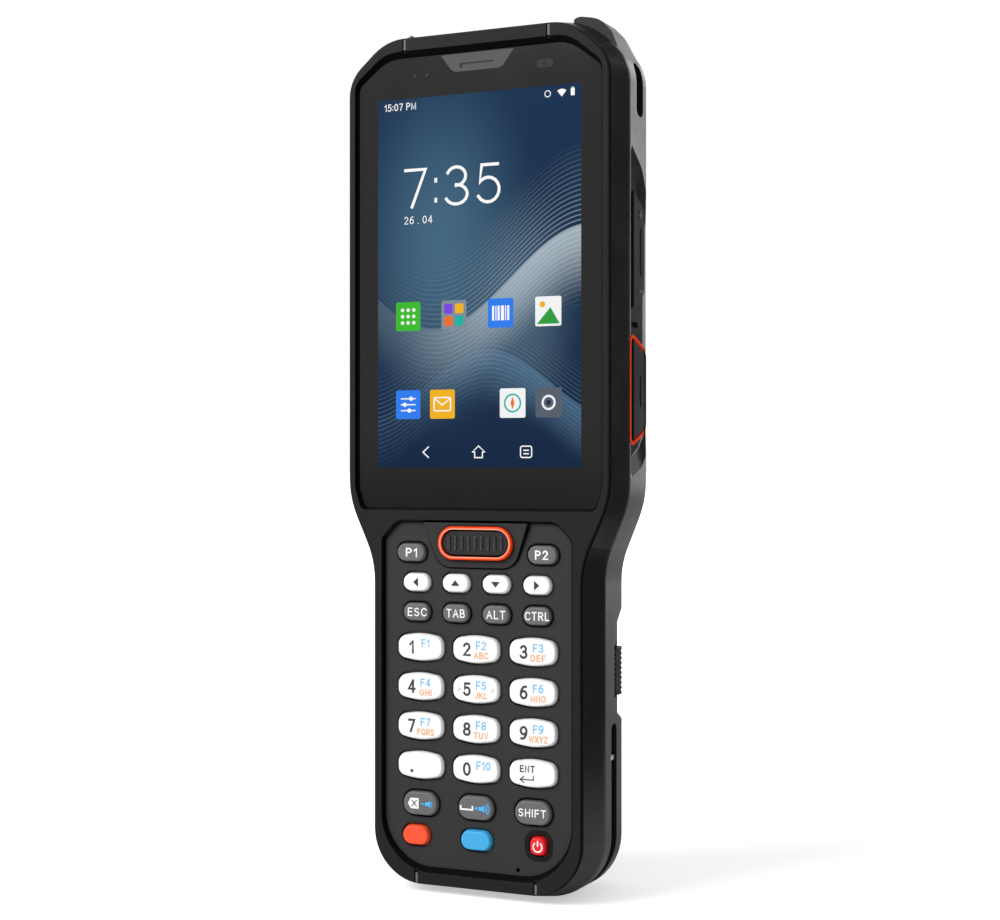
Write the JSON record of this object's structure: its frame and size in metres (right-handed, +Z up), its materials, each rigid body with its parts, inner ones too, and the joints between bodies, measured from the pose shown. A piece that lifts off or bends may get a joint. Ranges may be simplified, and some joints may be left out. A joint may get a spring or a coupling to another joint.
{
  "type": "portable barcode data terminal",
  "caption": "Rugged handheld barcode data terminal with display, full keypad, front and side scan buttons, rear battery with side latches.",
  "frame": {"origin": "Centre of the flat base the terminal stands on.", "axes": "+Z runs up along the terminal's length, -Y is the front with display and keypad, +X is its right side as seen from the front."},
  "size_m": [0.0705, 0.0302, 0.2042],
  "materials": {
    "housing_dark": "fine matte texture, dark grey",
    "housing_side": "fine matte texture, dark grey",
    "gasket_rubber": "black silicone",
    "cover_glass": "black printed border, clear over the display",
    "display": "lit display",
    "grey_plastic": "matte grey",
    "black_part": "black moulding",
    "silicone": "translucent silicone",
    "dome_steel": "stainless",
    "circuit_board": "green solder mask",
    "orange_plastic": "satin orange",
    "dark_key": "matte dark grey",
    "pad_rubber": "soft dark grey rubber",
    "scan_glass": "dark red tinted clear",
    "frame_metal": "cast, bead blasted",
    "contact_gold": "gold plated",
    "screw_steel": "dark plated steel",
    "battery_plastic": "fine matte texture, dark grey",
    "white_key": "satin white",
    "grey_key": "satin grey",
    "orange_key": "satin orange",
    "blue_key": "satin blue",
    "red_key": "satin red"
  },
  "bodies": {
    "terminal": {"front_housing": "housing_dark", "rear_housing": "housing_side", "seam_gasket": "gasket_rubber", "display_window": "cover_glass", "display_module": "display", "earpiece_insert": "grey_plastic", "receiver": "black_part", "front_sensors": "black_part", "keypad_panel": "housing_dark", "key_mat": "silicone", "key_domes": "dome_steel", "keypad_board": "circuit_board", "scan_key_ring": "orange_plastic", "side_pads": "pad_rubber", "trigger_rings": "orange_plastic", "side_switches": "black_part", "scan_window": "scan_glass", "scan_engine": "black_part", "rear_camera": "black_part", "loudspeaker": "black_part", "mid_frame": "frame_metal", "main_board": "circuit_board", "battery_contacts": "contact_gold", "dock_contacts": "contact_gold", "housing_screws": "screw_steel"},
    "key_p1": {"key_p1": "grey_key"},
    "key_p2": {"key_p2": "grey_key"},
    "key_left": {"key_left": "white_key"},
    "key_up": {"key_up": "white_key"},
    "key_down": {"key_down": "white_key"},
    "key_right": {"key_right": "white_key"},
    "key_esc": {"key_esc": "grey_key"},
    "key_tab": {"key_tab": "grey_key"},
    "key_alt": {"key_alt": "grey_key"},
    "key_ctrl": {"key_ctrl": "grey_key"},
    "key_1": {"key_1": "white_key"},
    "key_2": {"key_2": "white_key"},
    "key_3": {"key_3": "white_key"},
    "key_4": {"key_4": "white_key"},
    "key_5": {"key_5": "white_key"},
    "key_6": {"key_6": "white_key"},
    "key_7": {"key_7": "white_key"},
    "key_8": {"key_8": "white_key"},
    "key_9": {"key_9": "white_key"},
    "key_point": {"key_point": "white_key"},
    "key_0": {"key_0": "white_key"},
    "key_enter": {"key_enter": "white_key"},
    "key_backspace": {"key_backspace": "grey_key"},
    "key_space": {"key_space": "grey_key"},
    "key_shift": {"key_shift": "grey_key"},
    "key_orange": {"key_orange": "orange_key"},
    "key_blue": {"key_blue": "blue_key"},
    "key_power": {"key_power": "red_key"},
    "scan_key": {"scan_key": "dark_key"},
    "volume_key": {"volume_key": "dark_key"},
    "side_trigger_right": {"side_trigger_right": "dark_key"},
    "side_trigger_left": {"side_trigger_left": "dark_key"},
    "battery_pack": {"battery_pack": "battery_plastic"},
    "battery_latch_right": {"battery_latch_right": "dark_key"},
    "battery_latch_left": {"battery_latch_left": "dark_key"}
  },
  "joints": [
    {"name": "key_p1_press", "type": "slide", "parent": "terminal", "child": "key_p1", "axis": [0, 1, 0], "range_m": [0, 0.0005], "stiffness_N_per_m": 1600, "springref_m": -0.0002},
    {"name": "key_p2_press", "type": "slide", "parent": "terminal", "child": "key_p2", "axis": [0, 1, 0], "range_m": [0, 0.0005], "stiffness_N_per_m": 1600, "springref_m": -0.0002},
    {"name": "key_left_press", "type": "slide", "parent": "terminal", "child": "key_left", "axis": [0, 1, 0], "range_m": [0, 0.0005], "stiffness_N_per_m": 1600, "springref_m": -0.0002},
    {"name": "key_up_press", "type": "slide", "parent": "terminal", "child": "key_up", "axis": [0, 1, 0], "range_m": [0, 0.0005], "stiffness_N_per_m": 1600, "springref_m": -0.0002},
    {"name": "key_down_press", "type": "slide", "parent": "terminal", "child": "key_down", "axis": [0, 1, 0], "range_m": [0, 0.0005], "stiffness_N_per_m": 1600, "springref_m": -0.0002},
    {"name": "key_right_press", "type": "slide", "parent": "terminal", "child": "key_right", "axis": [0, 1, 0], "range_m": [0, 0.0005], "stiffness_N_per_m": 1600, "springref_m": -0.0002},
    {"name": "key_esc_press", "type": "slide", "parent": "terminal", "child": "key_esc", "axis": [0, 1, 0], "range_m": [0, 0.0005], "stiffness_N_per_m": 1600, "springref_m": -0.0002},
    {"name": "key_tab_press", "type": "slide", "parent": "terminal", "child": "key_tab", "axis": [0, 1, 0], "range_m": [0, 0.0005], "stiffness_N_per_m": 1600, "springref_m": -0.0002},
    {"name": "key_alt_press", "type": "slide", "parent": "terminal", "child": "key_alt", "axis": [0, 1, 0], "range_m": [0, 0.0005], "stiffness_N_per_m": 1600, "springref_m": -0.0002},
    {"name": "key_ctrl_press", "type": "slide", "parent": "terminal", "child": "key_ctrl", "axis": [0, 1, 0], "range_m": [0, 0.0005], "stiffness_N_per_m": 1600, "springref_m": -0.0002},
    {"name": "key_1_press", "type": "slide", "parent": "terminal", "child": "key_1", "axis": [0, 1, 0], "range_m": [0, 0.0005], "stiffness_N_per_m": 1600, "springref_m": -0.0002},
    {"name": "key_2_press", "type": "slide", "parent": "terminal", "child": "key_2", "axis": [0, 1, 0], "range_m": [0, 0.0005], "stiffness_N_per_m": 1600, "springref_m": -0.0002},
    {"name": "key_3_press", "type": "slide", "parent": "terminal", "child": "key_3", "axis": [0, 1, 0], "range_m": [0, 0.0005], "stiffness_N_per_m": 1600, "springref_m": -0.0002},
    {"name": "key_4_press", "type": "slide", "parent": "terminal", "child": "key_4", "axis": [0, 1, 0], "range_m": [0, 0.0005], "stiffness_N_per_m": 1600, "springref_m": -0.0002},
    {"name": "key_5_press", "type": "slide", "parent": "terminal", "child": "key_5", "axis": [0, 1, 0], "range_m": [0, 0.0005], "stiffness_N_per_m": 1600, "springref_m": -0.0002},
    {"name": "key_6_press", "type": "slide", "parent": "terminal", "child": "key_6", "axis": [0, 1, 0], "range_m": [0, 0.0005], "stiffness_N_per_m": 1600, "springref_m": -0.0002},
    {"name": "key_7_press", "type": "slide", "parent": "terminal", "child": "key_7", "axis": [0, 1, 0], "range_m": [0, 0.0005], "stiffness_N_per_m": 1600, "springref_m": -0.0002},
    {"name": "key_8_press", "type": "slide", "parent": "terminal", "child": "key_8", "axis": [0, 1, 0], "range_m": [0, 0.0005], "stiffness_N_per_m": 1600, "springref_m": -0.0002},
    {"name": "key_9_press", "type": "slide", "parent": "terminal", "child": "key_9", "axis": [0, 1, 0], "range_m": [0, 0.0005], "stiffness_N_per_m": 1600, "springref_m": -0.0002},
    {"name": "key_point_press", "type": "slide", "parent": "terminal", "child": "key_point", "axis": [0, 1, 0], "range_m": [0, 0.0005], "stiffness_N_per_m": 1600, "springref_m": -0.0002},
    {"name": "key_0_press", "type": "slide", "parent": "terminal", "child": "key_0", "axis": [0, 1, 0], "range_m": [0, 0.0005], "stiffness_N_per_m": 1600, "springref_m": -0.0002},
    {"name": "key_enter_press", "type": "slide", "parent": "terminal", "child": "key_enter", "axis": [0, 1, 0], "range_m": [0, 0.0005], "stiffness_N_per_m": 1600, "springref_m": -0.0002},
    {"name": "key_backspace_press", "type": "slide", "parent": "terminal", "child": "key_backspace", "axis": [0, 1, 0], "range_m": [0, 0.0005], "stiffness_N_per_m": 1600, "springref_m": -0.0002},
    {"name": "key_space_press", "type": "slide", "parent": "terminal", "child": "key_space", "axis": [0, 1, 0], "range_m": [0, 0.0005], "stiffness_N_per_m": 1600, "springref_m": -0.0002},
    {"name": "key_shift_press", "type": "slide", "parent": "terminal", "child": "key_shift", "axis": [0, 1, 0], "range_m": [0, 0.0005], "stiffness_N_per_m": 1600, "springref_m": -0.0002},
    {"name": "key_orange_press", "type": "slide", "parent": "terminal", "child": "key_orange", "axis": [0, 1, 0], "range_m": [0, 0.0005], "stiffness_N_per_m": 1600, "springref_m": -0.0002},
    {"name": "key_blue_press", "type": "slide", "parent": "terminal", "child": "key_blue", "axis": [0, 1, 0], "range_m": [0, 0.0005], "stiffness_N_per_m": 1600, "springref_m": -0.0002},
    {"name": "key_power_press", "type": "slide", "parent": "terminal", "child": "key_power", "axis": [0, 1, 0], "range_m": [0, 0.0005], "stiffness_N_per_m": 1600, "springref_m": -0.0002},
    {"name": "scan_key_press", "type": "slide", "parent": "terminal", "child": "scan_key", "axis": [0, 1, 0], "range_m": [0, 0.0005], "stiffness_N_per_m": 2500, "springref_m": -0.0002},
    {"name": "side_trigger_right_press", "type": "slide", "parent": "terminal", "child": "side_trigger_right", "axis": [-1, 0, 0], "range_m": [0, 0.0007], "stiffness_N_per_m": 2500, "springref_m": -0.0002},
    {"name": "side_trigger_left_press", "type": "slide", "parent": "terminal", "child": "side_trigger_left", "axis": [1, 0, 0], "range_m": [0, 0.0007], "stiffness_N_per_m": 2500, "springref_m": -0.0002},
    {"name": "volume_key_rock", "type": "hinge", "parent": "terminal", "child": "volume_key", "pos_m": [0.0342, -0.0008, 0.14965], "axis": [0, 1, 0], "range_deg": [-1.5, 1.5], "stiffness_Nm_per_rad": 0.2},
    {"name": "battery_pull", "type": "slide", "parent": "terminal", "child": "battery_pack", "axis": [0, 1, 0], "range_m": [0, 0.03]},
    {"name": "battery_latch_right_press", "type": "slide", "parent": "battery_pack", "child": "battery_latch_right", "axis": [-1, 0, 0], "range_m": [0, 0.0012], "stiffness_N_per_m": 1500, "springref_m": -0.0002},
    {"name": "battery_latch_left_press", "type": "slide", "parent": "battery_pack", "child": "battery_latch_left", "axis": [1, 0, 0], "range_m": [0, 0.0012], "stiffness_N_per_m": 1500, "springref_m": -0.0002}
  ]
}
